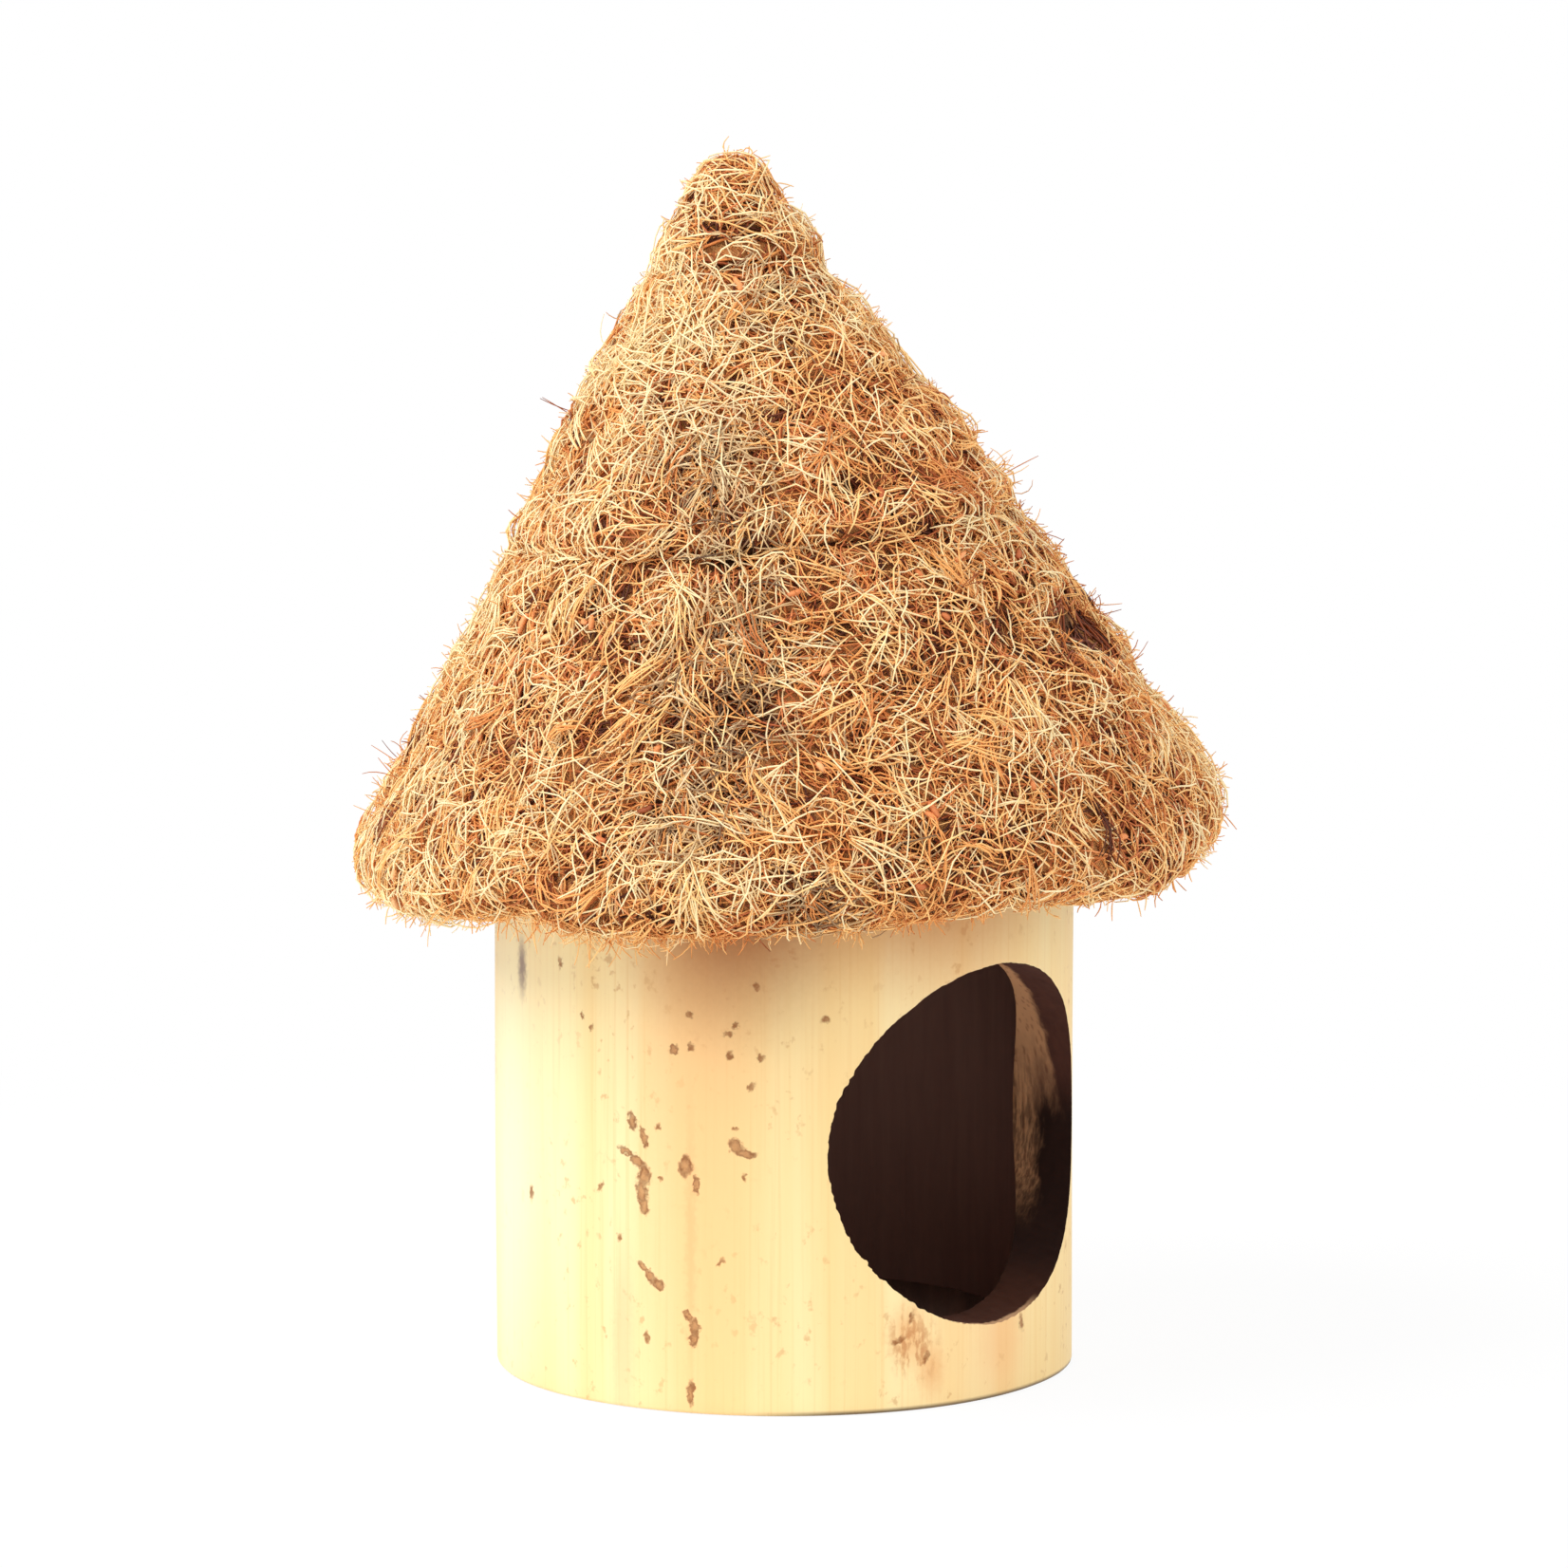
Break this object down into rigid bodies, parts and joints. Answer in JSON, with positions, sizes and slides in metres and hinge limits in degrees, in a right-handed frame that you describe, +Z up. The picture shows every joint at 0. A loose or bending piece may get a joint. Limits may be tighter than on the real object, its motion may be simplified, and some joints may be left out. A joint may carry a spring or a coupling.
{
  "type": "small animal hut",
  "caption": "Free-standing small animal hut: a drilled bamboo tube with a round doorway and a floor, under a conical coir roof that lifts off.",
  "frame": {"origin": "middle of the culm's foot, on the surface that the hut stands on", "axes": "+Z up along the culm, the door faces -Y"},
  "size_m": [0.1489, 0.1488, 0.2117],
  "materials": {
    "bamboo_skin": "natural, dry",
    "floor_wood": "raw, dark",
    "rattan": "natural",
    "split_bamboo": "split, unsanded",
    "plug_wood": "whittled",
    "nail_steel": "dull",
    "coir": "coarse loose fibre",
    "twine": "twisted natural fibre"
  },
  "bodies": {
    "hut": {"bamboo_culm": "bamboo_skin", "floor_disc": "floor_wood"},
    "roof": {"seat_hoop": "rattan", "eave_hoop": "rattan", "collar_hoop": "rattan", "rib_1": "split_bamboo", "rib_2": "split_bamboo", "rib_3": "split_bamboo", "rib_4": "split_bamboo", "rib_5": "split_bamboo", "rib_6": "split_bamboo", "rib_7": "split_bamboo", "rib_8": "split_bamboo", "apex_plug": "plug_wood", "hoop_nails": "nail_steel", "apex_nails": "nail_steel", "coir_skirt": "coir", "coir_cone": "coir", "coir_cap": "coir", "skirt_stitches": "twine", "cone_stitches": "twine"}
  },
  "joints": [
    {"name": "roof_lift", "type": "slide", "parent": "hut", "child": "roof", "axis": [0, 0, 1], "range_m": [0, 0.1]}
  ]
}
